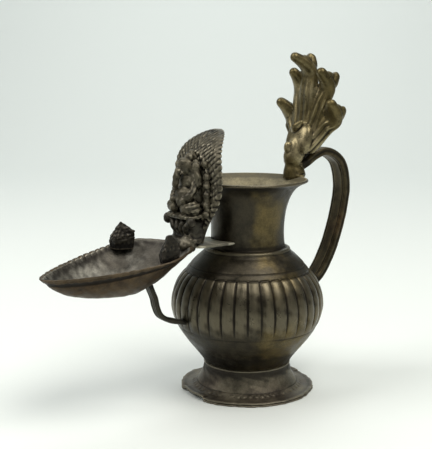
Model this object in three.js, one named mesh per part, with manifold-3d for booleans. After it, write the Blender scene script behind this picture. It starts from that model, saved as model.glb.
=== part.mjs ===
// A sukunda, the Nepalese oil lamp that carries its own oil: a fluted ewer on a flared foot, a leaf-shaped
// lamp dish in front, a plaque with a seated elephant-headed figure between the two, and a strap handle
// behind that ends in a fan of five serpent heads. Cast in several pieces and soldered together.
// Millimetres, +Z up. The dish points along -X, the handle along +X, and the foot stands on z = 0.
import * as THREE from "three";
import { mergeVertices } from "three/addons/utils/BufferGeometryUtils.js";
import Module from "manifold-3d";

const wasm = await Module();
wasm.setup();

// Where the pieces stand: the ewer's axis is set back so that the whole lamp is centred on the origin.
const DISH_TIP = 132;
const HANDLE_REACH = 75.2;
const AXIS_X = (DISH_TIP - HANDLE_REACH) / 2;
const JOINT_GAP = 0.35;

// Ewer: a turned and chased vessel, hollow and open at the lip.
const WALL = 2;
const LIP_RADIUS = 35.4;
const LIP_HEIGHT = 125.9;
const NECK_RADIUS = 21.5;
const NECK_FOOT_HEIGHT = 86.4;
const SHOULDER_TOP_RADIUS = 25.3;
const SHOULDER_TOP_HEIGHT = 84.2;
const FLUTE_TOP_RADIUS = 36.6;
const FLUTE_TOP_HEIGHT = 72.6;
const BELLY_RADIUS = 45.4;
const BELLY_HEIGHT = 52;
const FLUTE_BOTTOM_HEIGHT = 38;
const FLUTES = 36;
const FLUTE_DEPTH = 0.9;
const WAIST_RADIUS = 25.6;
const WAIST_HEIGHT = 17.2;
const SPIGOT_RADIUS = 21.2;
const SPIGOT_HEIGHT = 15;
const HOLLOW_SIDES = 24;

// Foot: a flared ring with a flat flange, chipped on the dish side.
const FLANGE_RADIUS = 40;
const FLANGE_THICKNESS = 2.4;
const FLANGE_INNER_RADIUS = 30.4;
const BEAD_RADIUS = 31.6;
const BEAD_HEIGHT = 4.2;
const CHIP_BEARING = 178;
const CHIP_SPREAD = 13;
const CHIP_DEPTH = 4;

// Handle and hood: a flat strap that runs from the belly up to the stem of the serpent hood.
const STRAP_WIDTH = 12.4;
const STRAP_THICKNESS = 5.6;
const STEM_RADIUS = 6;
const STEM_X = 33.4;
const HOOD_X = 44.6;
const HOOD_BASE = 140.5;
const NECK_THICKNESS = 4.4;
const HEAD_THICKNESS = 4.1;
const SNOUT_THICKNESS = 2.2;

// Lamp dish: a leaf-shaped bowl, its rim rising from the tip towards the ewer.
const DISH_LENGTH = 89;
const DISH_HALF_WIDTH = 33.5;
const DISH_WIDEST = 59;
const DISH_CENTRE = 51;
const DISH_FLOOR = 68.2;
const DISH_TIP_HEIGHT = 81.3;
const DISH_REAR_HEIGHT = 92;
const DISH_WALL = 2;
const DISH_TIP_STEEP = 4.4;
const DISH_REAR_STEEP = 2.5;
const DISH_CORNER_STEEP = 1.45;
const ORNAMENT_X = 69.6;
const ORNAMENT_Y = 25.6;
const ORNAMENT_HEIGHT = 103.2;

// Plaque: a leaf-shaped flame aureole that leans back over the neck, with the figure in high relief.
const PLAQUE_X = 38;
const PLAQUE_BASE = 92.5;
const PLAQUE_TOP = 156;
const PLAQUE_HALF_WIDTH = 23.6;
const PLAQUE_THICKNESS = 3.2;
const PLAQUE_BULGE = 0.004;
const FLAME_DEPTH = 0.9;
const FLAME_TEETH = 9;
const LEDGE_HEIGHT = 109.6;

// Bracket and strut: the flat tongue at the neck and the bent strap under the dish.
const BRACKET_TOP = 92;
const BRACKET_THICKNESS = 1.8;
const BRACKET_REACH = 42.6;
const STRUT_WIDTH = 7.2;
const STRUT_THICKNESS = 3;

const BRONZE = {
  ewer: 0x5d5646, foot: 0x575041, handle: 0x6a6350, dish: 0x6b5c4d, plaque: 0x716b58, small: 0x66604e,
};

const smooth = (a, b, v) => THREE.MathUtils.smoothstep(v, a, b);
const vec = (x, y, z) => new THREE.Vector3(x, y, z);

// A closed solid from any surface: points welded, faces turned outwards.
function solid(geometry) {
  const bare = new THREE.BufferGeometry();
  bare.setAttribute("position", geometry.getAttribute("position").clone());
  if (geometry.index) bare.setIndex(geometry.index.clone());
  const welded = mergeVertices(bare, 1e-3);
  const points = Float32Array.from(welded.getAttribute("position").array);
  const kept = [];
  const index = welded.index.array;
  let volume = 0;
  const a = vec(0, 0, 0);
  const b = vec(0, 0, 0);
  const c = vec(0, 0, 0);
  for (let i = 0; i < index.length; i += 3) {
    const [p, q, r] = [index[i], index[i + 1], index[i + 2]];
    if (p === q || q === r || r === p) continue;
    kept.push([p, q, r]);
    a.fromArray(points, 3 * p);
    b.fromArray(points, 3 * q);
    c.fromArray(points, 3 * r);
    volume += a.dot(b.cross(c)) / 6;
  }
  const triangles = kept.map(([p, q, r]) => (volume < 0 ? [p, r, q] : [p, q, r]));
  return new wasm.Manifold(new wasm.Mesh({
    numProp: 3,
    vertProperties: points,
    triVerts: Uint32Array.from(triangles.flat()),
  }));
}

// A skin stretched over a row of rings. A ring of one point closes an end.
function skin(rings) {
  const points = [];
  const faces = [];
  const starts = [];
  for (const ring of rings) {
    starts.push(points.length / 3);
    for (const p of ring) points.push(p.x, p.y, p.z);
  }
  for (let i = 0; i + 1 < rings.length; i += 1) {
    const n = Math.max(rings[i].length, rings[i + 1].length);
    for (let j = 0; j < n; j += 1) {
      const k = (j + 1) % n;
      const a = starts[i] + (rings[i].length > 1 ? j : 0);
      const b = starts[i] + (rings[i].length > 1 ? k : 0);
      const c = starts[i + 1] + (rings[i + 1].length > 1 ? k : 0);
      const d = starts[i + 1] + (rings[i + 1].length > 1 ? j : 0);
      if (rings[i].length > 1) faces.push(a, b, c);
      if (rings[i + 1].length > 1) faces.push(a, c, d);
    }
  }
  const geometry = new THREE.BufferGeometry();
  geometry.setAttribute("position", new THREE.Float32BufferAttribute(points, 3));
  geometry.setIndex(faces);
  return solid(geometry);
}

// A bar whose section follows a smooth curve: section(t) gives the outline in the curve's own cross plane,
// first number across the curve's bend, second along `side`.
function bar(curve, steps, side, section) {
  const rings = [];
  for (let i = 0; i <= steps; i += 1) {
    const t = i / steps;
    const centre = curve.getPoint(t);
    const along = curve.getTangent(t);
    const across = vec(0, 0, 0).crossVectors(side, along).normalize();
    const level = vec(0, 0, 0).crossVectors(along, across).normalize();
    const place = ([u, v]) => centre.clone().addScaledVector(across, u).addScaledVector(level, v);
    const ring = section(t).map(place);
    if (i === 0) rings.push([centre]);
    rings.push(ring);
    if (i === steps) rings.push([centre]);
  }
  return skin(rings);
}

const circle = (radius, sides) => Array.from({ length: sides }, (_, j) => {
  const angle = (2 * Math.PI * j) / sides;
  return [radius * Math.cos(angle), radius * Math.sin(angle)];
});

function flatBar(thickness, width, bevel) {
  const u = thickness / 2;
  const v = width / 2;
  return [[u, v - bevel], [u, bevel - v], [u - bevel, -v], [bevel - u, -v], [-u, bevel - v], [-u, v - bevel],
    [bevel - u, v], [u - bevel, v]];
}

function ball(centre, size, around = 7, rows = 5) {
  const geometry = new THREE.SphereGeometry(1, around, rows);
  geometry.rotateX(Math.PI / 2);
  geometry.scale(size.x, size.y, size.z);
  geometry.translate(centre.x, centre.y, centre.z);
  return solid(geometry);
}

const fuse = (parts) => parts.reduce((whole, part) => whole.add(part));
const limb = (points, radii, sides = 8, steps = 7) => bar(
  new THREE.CatmullRomCurve3(points), steps, vec(0, 1, 0),
  (t) => {
    const place = t * (radii.length - 1);
    const i = Math.min(Math.floor(place), radii.length - 2);
    return circle(THREE.MathUtils.lerp(radii[i], radii[i + 1], place - i), sides);
  },
);

// A turned shape from its half profile, with each point's radius and height then worked by `work`.
function turned(profile, segments, work) {
  const geometry = new THREE.LatheGeometry(profile, segments, Math.PI / 2);
  geometry.rotateX(Math.PI / 2);
  const position = geometry.getAttribute("position");
  for (let i = 0; i < position.count; i += 1) {
    const radius = Math.hypot(position.getX(i), position.getY(i));
    const angle = Math.atan2(position.getY(i), position.getX(i));
    const [r, z] = work(radius, position.getZ(i), angle, i % profile.length);
    position.setXYZ(i, r * Math.cos(angle), r * Math.sin(angle), z);
  }
  return solid(geometry);
}

// The ewer's outside in half section, from the spigot in the foot up to the rounded lip. `grow` swells it for
// clearances, and a negative one, with `fine` points to a curve, gives the inside face of the wall.
function ewerSection(grow, fine) {
  const g = (r, z) => new THREE.Vector2(r + grow, z);
  const bellyLow = new THREE.CubicBezierCurve(
    g(WAIST_RADIUS, WAIST_HEIGHT), g(31, 26.5), g(BELLY_RADIUS, 38), g(BELLY_RADIUS, BELLY_HEIGHT));
  const bellyHigh = new THREE.CubicBezierCurve(
    g(BELLY_RADIUS, BELLY_HEIGHT), g(BELLY_RADIUS, 59), g(42.8, 67), g(FLUTE_TOP_RADIUS, FLUTE_TOP_HEIGHT));
  const neck = new THREE.CubicBezierCurve(
    g(NECK_RADIUS + 0.8, NECK_FOOT_HEIGHT), g(NECK_RADIUS - 1, 96), g(NECK_RADIUS + 0.2, 113), g(28.2, 120.2));
  const flare = new THREE.QuadraticBezierCurve(
    g(28.2, 120.2), g(30.4, 122.8), g(LIP_RADIUS - 0.5, LIP_HEIGHT - 1.4));
  return {
    belly: [...bellyLow.getPoints(fine), ...bellyHigh.getPoints(fine - 1).slice(1)],
    shoulder: [
      g(SHOULDER_TOP_RADIUS, SHOULDER_TOP_HEIGHT), g(SHOULDER_TOP_RADIUS - 0.5, NECK_FOOT_HEIGHT - 0.8),
    ],
    neck: [...neck.getPoints(3), ...flare.getPoints(2).slice(1)],
    lip: [g(LIP_RADIUS, LIP_HEIGHT - 0.7), g(LIP_RADIUS - 0.7, LIP_HEIGHT)],
  };
}

// The ewer filled solid: its outside with the top of the mouth closed over.
function ewerBlock(grow, work) {
  const { belly, shoulder, neck, lip } = ewerSection(grow, 4);
  const profile = [
    new THREE.Vector2(0, SPIGOT_HEIGHT),
    new THREE.Vector2(SPIGOT_RADIUS + grow, SPIGOT_HEIGHT),
    new THREE.Vector2(SPIGOT_RADIUS + grow, WAIST_HEIGHT),
    ...belly, ...shoulder, ...neck, ...lip,
    new THREE.Vector2(0, LIP_HEIGHT),
  ];
  profile.slice(-2).forEach((p) => p.setY(p.y + Math.max(grow, 0)));
  return turned(profile, 2 * FLUTES, work);
}

// The hollow: the same section drawn in by the wall, from the floor up through the mouth.
function ewerHollow() {
  const { belly, neck } = ewerSection(-WALL - 0.4, 3);
  const mouth = LIP_HEIGHT + 2;
  const lower = (p) => new THREE.Vector2(p.x, Math.min(p.y, FLUTE_TOP_HEIGHT - 1));
  const profile = [
    new THREE.Vector2(0, SPIGOT_HEIGHT + WALL),
    ...belly.map(lower).map((p) => p.setY(Math.max(p.y, SPIGOT_HEIGHT + WALL + 1.2))),
    ...neck.map((p) => p.setY(p.y + 0.8)),
    new THREE.Vector2(LIP_RADIUS - WALL + 0.4, mouth),
    new THREE.Vector2(0, mouth),
  ];
  return turned(profile, HOLLOW_SIDES, (r, z) => [r, z]);
}

function makeEwer() {
  const fluted = (r, z, angle) => {
    const below = z < FLUTE_TOP_HEIGHT - 0.1 ? 1 : 0;
    const shown = below * smooth(FLUTE_BOTTOM_HEIGHT, FLUTE_BOTTOM_HEIGHT + 7, z);
    return [r - FLUTE_DEPTH * shown * (0.5 - 0.5 * Math.cos(FLUTES * angle)), z];
  };
  return ewerBlock(0, fluted).subtract(ewerHollow());
}

// The room that the ewer takes up, a hair larger all round and filled: other pieces stop short of it.
const ewerRoom = () => ewerBlock(JOINT_GAP, (r, z) => [r, z]);

function makeFoot() {
  const g = (r, z) => new THREE.Vector2(r, z);
  const top = WAIST_HEIGHT - JOINT_GAP;
  const wall = new THREE.CubicBezierCurve(
    g(BEAD_RADIUS - 1.6, BEAD_HEIGHT + 0.5), g(28, 8), g(25.9, 11), g(WAIST_RADIUS, top));
  const profile = [
    g(FLANGE_INNER_RADIUS, 0),
    g(FLANGE_RADIUS - 0.4, 0),
    g(FLANGE_RADIUS, 1),
    g(FLANGE_RADIUS - 0.5, FLANGE_THICKNESS),
    g(BEAD_RADIUS + 0.6, FLANGE_THICKNESS + 0.5),
    g(BEAD_RADIUS, BEAD_HEIGHT),
    ...wall.getPoints(3),
    g(SPIGOT_RADIUS + 0.5, top),
    g(FLANGE_INNER_RADIUS - 1, 1.6),
    g(FLANGE_INNER_RADIUS, 0),
  ];
  return turned(profile, FLUTES, (r, z, angle, row) => {
    if (row < 1 || row > 3) return [r, z];
    const turn = THREE.MathUtils.radToDeg(angle) - CHIP_BEARING;
    const away = THREE.MathUtils.euclideanModulo(turn + 180, 360) - 180;
    const chip = Math.exp(-((away / CHIP_SPREAD) ** 2));
    const ragged = 0.35 * Math.sin(7 * angle + 1) * Math.sin(3 * angle);
    return [r - CHIP_DEPTH * chip * (row < 3 ? 1 : 0.6) + ragged - 0.35, z];
  });
}

// One serpent: a neck that fans out from the hood and bends forward at the nape into a blunt-snouted head,
// with a small pointed crest behind it.
function serpent({ nape, snout, crest }) {
  const brow = nape.clone().lerp(snout, 0.45);
  brow.z += 1.4;
  const radii = [
    NECK_THICKNESS, NECK_THICKNESS + 0.7, NECK_THICKNESS, NECK_THICKNESS, HEAD_THICKNESS, SNOUT_THICKNESS,
  ];
  const horn = [nape.clone().lerp(brow, 0.5), nape.clone().lerp(crest, 0.6), crest];
  return [limb([...throat(nape), nape, brow, snout], radii, 6, 8), limb(horn, [3.2, 2, 0.7], 4, 2)];
}

// The line of a neck from the palm of the hood up to below its nape.
function throat(nape) {
  const up = (share) => THREE.MathUtils.lerp(HOOD_BASE, nape.z, share);
  return [
    vec(STEM_X + 6.4, nape.y * 0.2, up(0)),
    vec(HOOD_X, nape.y * 0.46, up(0.42)),
    vec(nape.x, nape.y * 0.77, up(0.8)),
  ];
}

// The skin of the hood between two neighbouring necks.
function web(one, other) {
  const line = throat(one.nape);
  throat(other.nape).forEach((p, i) => line[i].lerp(p, 0.5));
  return limb(line, [NECK_THICKNESS, NECK_THICKNESS + 0.4, NECK_THICKNESS - 0.8], 5, 3);
}

function makeHandle(room) {
  const path = new THREE.CatmullRomCurve3([
    vec(40, 0, 54), vec(52.6, 0, 63.4), vec(60.6, 0, 75.3), vec(66.8, 0, 90.2), vec(70.8, 0, 104.7),
    vec(72.4, 0, 118), vec(67.2, 0, 134.2), vec(55, 0, 139.8), vec(46.6, 0, 138), vec(38, 0, 131),
  ]);
  const strap = bar(path, 14, vec(0, 1, 0), () => flatBar(STRAP_THICKNESS, STRAP_WIDTH, 1));
  const stem = limb(
    [vec(STEM_X, 0, LIP_HEIGHT - 2), vec(STEM_X, 0, 130), vec(STEM_X, 0, 135), vec(STEM_X + 2, 0, 140),
      vec(STEM_X + 6, 0, 146)],
    [STEM_RADIUS + 2.6, STEM_RADIUS - 0.2, STEM_RADIUS + 0.6, STEM_RADIUS, STEM_RADIUS - 1], 8, 7,
  );
  const knob = ball(vec(30.2, 0, 144), vec(2.6, 4, 3));
  const palm = ball(vec(HOOD_X - 0.6, 0, HOOD_BASE + 10.5), vec(4.6, 16.6, 13.6), 10, 6);
  const top = { nape: vec(45.8, 0, 189.6), snout: vec(31.8, 0, 196.2), crest: vec(46.4, 0, 200) };
  const sides = [-1, 1].flatMap((side) => {
    const p = (x, y, z) => vec(x, side * y, z);
    const middle = { nape: p(51.4, 12.6, 180), snout: p(43, 13.4, 188), crest: p(55, 13, 187) };
    const low = { nape: p(49, 20.8, 160.5), snout: p(42, 25.6, 170), crest: p(53.2, 23.6, 166.6) };
    return [...serpent(middle), ...serpent(low), web(top, middle), web(middle, low)];
  });
  return fuse([strap, stem, knob, palm, ...serpent(top), ...sides]).subtract(room);
}

// Half of the dish's rim in plan, tip first: a pointed curve out to the widest place and a round one back in.
function dishRim() {
  const g = (a, w) => new THREE.Vector2(a, w);
  const front = new THREE.CubicBezierCurve(
    g(0, 0), g(0.5, 9), g(40, DISH_HALF_WIDTH - 2), g(DISH_WIDEST, DISH_HALF_WIDTH));
  const rear = new THREE.CubicBezierCurve(
    g(DISH_WIDEST, DISH_HALF_WIDTH), g(69, DISH_HALF_WIDTH), g(DISH_LENGTH - 3, 24), g(DISH_LENGTH, 0));
  const half = [...front.getSpacedPoints(13), ...rear.getSpacedPoints(9).slice(1)];
  const other = half.slice(1, -1).reverse().map((p) => g(p.x, -p.y));
  return [...half, ...other];
}

const dishRimHeight = (a) => {
  const u = a / 70;
  return Math.min(DISH_TIP_HEIGHT + 7.3 * u + 2.7 * u * u, DISH_REAR_HEIGHT);
};

// The dish's skin from the middle of its floor out to the rim, drawn in and lifted for its inside face: steep
// sided at the tip, and running up to the plaque like a ramp at the back.
function dishSkin(inset, lift) {
  const rings = [0.35, 0.6, 0.78, 0.9, 1].map((reach) => dishRim().map((p) => {
    const dx = p.x - DISH_CENTRE;
    const share = reach * (1 - inset / Math.hypot(dx, p.y));
    const rear = THREE.MathUtils.lerp(DISH_REAR_STEEP, DISH_CORNER_STEEP, smooth(0, 20, Math.abs(p.y)));
    const steep = THREE.MathUtils.lerp(DISH_TIP_STEEP, rear, smooth(-45, 25, dx));
    const height = DISH_FLOOR + lift + (dishRimHeight(p.x) - DISH_FLOOR - lift) * reach ** steep;
    return vec(DISH_CENTRE - DISH_TIP + dx * share, p.y * share, height);
  }));
  return [[vec(DISH_CENTRE - DISH_TIP, 0, DISH_FLOOR + lift)], ...rings];
}

function makeDish() {
  const bowl = skin([...dishSkin(0, 0), ...dishSkin(DISH_WALL, DISH_WALL).reverse()]);
  return fuse([bowl, ornament(-1), ornament(1)]);
}

// The room that the dish takes up, filled to above its rim: the strut stops short of it.
const dishRoom = () => {
  const lid = vec(DISH_CENTRE - DISH_TIP, 0, DISH_REAR_HEIGHT + 8);
  return skin([...dishSkin(0, -JOINT_GAP), [lid]]);
};

// A rim ornament: a leaning pyramid on an oblong foot, its peak towards the tip of the dish.
function ornament(side) {
  const y = (v) => side * v;
  const foot = (z, grow) => [
    vec(-ORNAMENT_X - 7.5 * grow, y(ORNAMENT_Y + 5), z),
    vec(-ORNAMENT_X - 6 * grow, y(ORNAMENT_Y - 1.5), z),
    vec(-ORNAMENT_X + 6.4 * grow, y(ORNAMENT_Y - 4.5), z),
    vec(-ORNAMENT_X + 6.6 * grow, y(ORNAMENT_Y + 2.5), z),
  ];
  const low = foot(DISH_REAR_HEIGHT - 4, 0.85);
  const brim = foot(DISH_REAR_HEIGHT + 1.4, 1);
  const shoulder = [
    vec(-ORNAMENT_X - 4.6, y(ORNAMENT_Y + 3.6), 97.5), vec(-ORNAMENT_X - 4, y(ORNAMENT_Y - 0.4), 97.5),
    vec(-ORNAMENT_X + 6.4, y(ORNAMENT_Y - 3.2), 97.8), vec(-ORNAMENT_X + 6.6, y(ORNAMENT_Y + 0.6), 97.8),
  ];
  const peak = vec(-ORNAMENT_X - 0.6, y(ORNAMENT_Y + 1.2), ORNAMENT_HEIGHT);
  const middle = (ring) => [ring.reduce((sum, p) => sum.add(p), vec(0, 0, 0)).divideScalar(ring.length)];
  return skin([middle(low), low, brim, shoulder, [peak]]);
}

// How far out the plaque's middle line stands, and how wide it is, at a height: upright, then curling back.
const plaqueX = (z) => {
  const curl = Math.max(0, (z - 134) / (PLAQUE_TOP - 134)) ** 2.6;
  return PLAQUE_X - 1.6 * smooth(96, 138, z) - 16 * curl;
};
const plaqueHalf = (z) => {
  const rise = smooth(88, 124, z);
  const close = Math.sqrt(Math.max(0, 1 - Math.max(0, (z - 126) / (PLAQUE_TOP - 126)) ** 2.6));
  return (9.5 + (PLAQUE_HALF_WIDTH - 9.5) * rise) * close;
};

function makeAureole() {
  const rows = 2 * FLAME_TEETH;
  const columns = 8;
  const rings = [[vec(-plaqueX(PLAQUE_BASE), 0, PLAQUE_BASE)]];
  for (let i = 0; i < rows; i += 1) {
    const z = THREE.MathUtils.lerp(PLAQUE_BASE, PLAQUE_TOP - 0.6, (i / (rows - 1)) ** 0.92);
    const half = plaqueHalf(z) * (1 - (i % 2 && z > 112 ? 0.04 : 0));
    const front = [];
    const back = [];
    for (let j = 0; j <= columns; j += 1) {
      const s = 2 * (j / columns) - 1;
      const y = half * s;
      const x = plaqueX(z) - PLAQUE_BULGE * y * y;
      const flame = Math.atan2(y, z - 112);
      const rim = smooth(0.55, 0.75, Math.hypot(y / PLAQUE_HALF_WIDTH, (z - 124) / 30));
      const groove = FLAME_DEPTH * rim * (j % 2 ? 1 : 0) * (Math.abs(flame) < 1.6 ? 1 : 0);
      const thin = PLAQUE_THICKNESS * (Math.abs(s) > 0.99 ? 0.3 : 0.5);
      front.push(vec(-x - thin + groove, y, z));
      back.push(vec(-x + thin, y, z));
    }
    rings.push([...front, ...back.reverse()]);
  }
  rings.push([vec(-plaqueX(PLAQUE_TOP), 0, PLAQUE_TOP)]);
  return skin(rings);
}

// The seated figure: round belly, elephant head with ears and trunk, crossed legs, two raised hands.
function makeFigure() {
  const both = (make) => [-1, 1].map(make);
  return [
    ball(vec(-42, 0, 119.8), vec(7, 8.4, 8.2)),
    ball(vec(-40.5, 0, 127.6), vec(5.4, 8, 5.6)),
    ball(vec(-42, 0, 135.4), vec(6, 5.6, 5.8)),
    limb([vec(-39.8, 0, 137.6), vec(-39.4, 0, 141), vec(-38.4, 0, 145)], [4.6, 3.4, 0.8], 6, 3),
    limb([vec(-46.6, 0, 134.4), vec(-49, 0.3, 129.6), vec(-48.8, 1.6, 125), vec(-47.8, 4.6, 122.4)],
      [2.8, 2.2, 1.8, 1.2], 5, 4),
    ...both((side) => ball(vec(-39.8, 7.4 * side, 135.4), vec(1.8, 4, 4.8), 6, 4)),
    ...both((side) => limb(
      [vec(-39.6, 7.6 * side, 129), vec(-40.4, 12.6 * side, 126.6), vec(-41.4, 13.2 * side, 130.6),
        vec(-41.6, 11 * side, 135)],
      [2.6, 2.1, 1.8, 2.4], 5, 4)),
    ...both((side) => limb(
      [vec(-40.6, 8.4 * side, 127), vec(-43, 10.8 * side, 121.6), vec(-47, 7.8 * side, 117.6)],
      [2.6, 2.2, 2], 5, 3)),
    ...both((side) => limb(
      [vec(-40.6, 3 * side, 113.4), vec(-43.6, 12.6 * side, 113.6), vec(-48.4, 3.4 * side, 112.2)],
      [4, 4, 2.4], 6, 5)),
  ];
}

function makePlaque(room, bracket) {
  const slab = (z0, z1, x0, x1, w0, w1) => {
    const ring = (z, a, b, w) => [vec(-a, -w, z), vec(-b, -w * 0.82, z), vec(-b, w * 0.82, z), vec(-a, w, z)];
    const low = ring(z0, x0, x1 - 1.4, w0);
    const high = ring(z1, x0, x1, w1);
    return skin([[vec(-(x0 + x1) / 2, 0, z0)], low, high, [vec(-(x0 + x1) / 2, 0, z1)]]);
  };
  const pedestal = slab(PLAQUE_BASE, LEDGE_HEIGHT - 2, PLAQUE_X - 3.4, 46.6, 11.4, 12.6);
  const ledge = slab(LEDGE_HEIGHT - 3, LEDGE_HEIGHT, PLAQUE_X - 3, 49.4, 14.6, 15.4);
  const knobs = [-1, 1].map((side) => ball(vec(-47.6, 13 * side, LEDGE_HEIGHT - 3.2), vec(2.8, 2.8, 3.6)));
  return fuse([makeAureole(), pedestal, ledge, ...knobs, ...makeFigure()]).subtract(room).subtract(bracket);
}

// The tongue under the pedestal: a flat plate whose end is hollowed to hug the neck.
function makeBracket(room, grow = 0) {
  const outline = new THREE.Shape();
  outline.moveTo(0, -12.6 - grow);
  outline.lineTo(-30, -13.4 - grow);
  outline.quadraticCurveTo(-BRACKET_REACH - grow, -14, -BRACKET_REACH - grow, -7);
  outline.lineTo(-BRACKET_REACH - grow, 7);
  outline.quadraticCurveTo(-BRACKET_REACH - grow, 14, -30, 13.4 + grow);
  outline.lineTo(0, 12.6 + grow);
  const geometry = new THREE.ExtrudeGeometry(outline, {
    depth: BRACKET_THICKNESS + 2 * grow, bevelEnabled: false, curveSegments: 5,
  });
  geometry.translate(0, 0, BRACKET_TOP - BRACKET_THICKNESS - grow);
  return solid(geometry).subtract(room);
}

function makeStrut(room, dish) {
  const path = new THREE.CatmullRomCurve3([
    vec(-68.4, 0, 74), vec(-66.3, 0, 67.6), vec(-64.3, 0, 62.8), vec(-63, 0, 57.4), vec(-60.8, 0, 52.7),
    vec(-55.6, 0, 49.2), vec(-50, 0, 47.4), vec(-42, 0, 45.6),
  ]);
  const strap = bar(path, 9, vec(0, 1, 0), () => flatBar(STRUT_THICKNESS, STRUT_WIDTH, 0.7));
  return strap.subtract(room).subtract(dish);
}

function node(name, body, colour) {
  const mesh = body.getMesh();
  const geometry = new THREE.BufferGeometry();
  geometry.setAttribute("position", new THREE.BufferAttribute(Float32Array.from(mesh.vertProperties), 3));
  geometry.setIndex(new THREE.BufferAttribute(Uint32Array.from(mesh.triVerts), 1));
  geometry.translate(AXIS_X, 0, 0);
  geometry.computeVertexNormals();
  const material = new THREE.MeshStandardMaterial({ color: colour, metalness: 0.9, roughness: 0.5 });
  const piece = new THREE.Mesh(geometry, material);
  piece.name = name;
  return piece;
}

const room = ewerRoom();
const lamp = new THREE.Group();
lamp.name = "sukunda_oil_lamp";
lamp.add(node("ewer", makeEwer(), BRONZE.ewer));
lamp.add(node("foot", makeFoot(), BRONZE.foot));
lamp.add(node("naga_handle", makeHandle(room), BRONZE.handle));
lamp.add(node("lamp_dish", makeDish(), BRONZE.dish));
lamp.add(node("ganesha_plaque", makePlaque(room, makeBracket(room, JOINT_GAP)), BRONZE.plaque));
lamp.add(node("neck_bracket", makeBracket(room), BRONZE.small));
lamp.add(node("dish_strut", makeStrut(room, dishRoom()), BRONZE.small));

export default lamp;
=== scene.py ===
"""A sukunda, the Nepalese lamp that carries its own oil, in worn dark bronze."""
import bpy
import numpy as np
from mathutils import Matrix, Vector


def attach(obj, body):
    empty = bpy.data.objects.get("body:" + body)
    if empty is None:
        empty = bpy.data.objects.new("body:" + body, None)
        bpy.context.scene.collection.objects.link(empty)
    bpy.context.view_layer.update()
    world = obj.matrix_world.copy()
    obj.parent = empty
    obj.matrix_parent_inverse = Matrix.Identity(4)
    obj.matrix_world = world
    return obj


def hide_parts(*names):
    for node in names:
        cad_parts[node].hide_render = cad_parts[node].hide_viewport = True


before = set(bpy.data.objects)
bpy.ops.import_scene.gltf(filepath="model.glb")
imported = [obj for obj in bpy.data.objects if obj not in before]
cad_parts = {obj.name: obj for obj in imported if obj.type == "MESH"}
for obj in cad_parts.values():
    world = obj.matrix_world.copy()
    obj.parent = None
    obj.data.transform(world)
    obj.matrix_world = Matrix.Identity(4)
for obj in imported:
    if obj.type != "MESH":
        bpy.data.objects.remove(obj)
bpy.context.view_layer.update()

# The ewer: the oil vessel, cast hollow in bronze and finished on the lathe. Thirty-six gadroons are
# chased round its belly between two scribed lines, and the neck flares to a rounded lip.
MM = 0.001
AXIS = 28.4
FLUTES = 36


def bezier(points, t):
    """Bezier curve: neighbouring control points are blended by t, again and again, until one is left."""
    rows = [np.asarray(p, float)[None, :] for p in points]
    while len(rows) > 1:
        rows = [a * (1 - t[:, None]) + b * t[:, None] for a, b in zip(rows, rows[1:])]
    return rows[0]


def ease(low, high, value):
    """Zero below low, one above high, and a smooth S between them."""
    u = np.clip((value - low) / (high - low), 0, 1)
    return u * u * (3 - 2 * u)


def dent(value, place, width):
    """A bell-shaped dip: one at the place, falling off within the width."""
    return np.exp(-(((value - place) / width) ** 2))


def wobble(s, waves, seed):
    """An uneven hand-worked line: the mean of sine waves along s, each with a seeded phase and size."""
    rng = np.random.default_rng(seed)
    return sum(rng.uniform(0.5, 1) * np.sin(w * s + rng.uniform(0, 2 * np.pi)) for w in waves) / len(waves)


def skin(grid, ring_rows=False):
    """Quads over a grid whose columns close into a ring; the rows close too, or end in poles."""
    rows, cols = grid.shape[:2]
    at = np.arange(rows * cols).reshape(rows, cols)
    below = at if ring_rows else at[:-1]
    above = np.roll(at, -1, 0) if ring_rows else at[1:]
    quads = np.stack([below, np.roll(below, -1, 1), np.roll(above, -1, 1), above], -1).reshape(-1, 4)
    points = grid.reshape(-1, 3)
    if ring_rows:
        return points, quads, np.empty((0, 3), int)
    poles = np.stack([grid[0].mean(0), grid[-1].mean(0)])
    low = np.stack([np.roll(at[0], -1), at[0], np.full(cols, rows * cols)], -1)
    high = np.stack([at[-1], np.roll(at[-1], -1), np.full(cols, rows * cols + 1)], -1)
    return np.concatenate([points, poles]), quads, np.concatenate([low, high])


def outward(points, quads, tris):
    """Turns every face round where the shell's signed volume, summed over its triangles, is below zero."""
    fan = np.concatenate([quads[:, [0, 1, 2]], quads[:, [0, 2, 3]], tris])
    a, b, c = points[fan].transpose(1, 0, 2)
    if np.einsum("ij,ij->i", a, np.cross(b, c)).sum() < 0:
        return points, quads[:, ::-1], tris[:, ::-1]
    return points, quads, tris


def shells(parts):
    """Several closed shells as one list of points, quads and triangles."""
    points, quads, tris, start = [], [], [], 0
    for p, q, t in parts:
        p, q, t = outward(p, q, t)
        points.append(p)
        quads.append(q + start)
        tris.append(t + start)
        start += len(p)
    return np.concatenate(points), np.concatenate(quads), np.concatenate(tris)


def new_mesh(name, parts):
    """A mesh from shells in millimetres about the ewer's axis, set in the lamp's frame in metres."""
    points, quads, tris = shells(parts)
    mesh = bpy.data.meshes.new(name)
    mesh.from_pydata(((points + [AXIS, 0, 0]) * MM).tolist(), [], quads.tolist() + tris.tolist())
    mesh.shade_smooth()
    return mesh


def neighbours(mesh):
    """Points, and a function giving the mean of a value over each point's neighbours along the edges."""
    n = len(mesh.vertices)
    places = np.empty(3 * n)
    mesh.vertices.foreach_get("co", places)
    ends = np.empty(2 * len(mesh.edges), np.int32)
    mesh.edges.foreach_get("vertices", ends)
    a, b = ends.reshape(-1, 2).T
    count = np.maximum(np.bincount(a, minlength=n) + np.bincount(b, minlength=n), 1)

    def mean(v):
        totals = [np.bincount(a, x[b], n) + np.bincount(b, x[a], n) for x in v.T]
        return np.stack(totals, 1) / count[:, None]

    return places.reshape(-1, 3), mean


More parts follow.
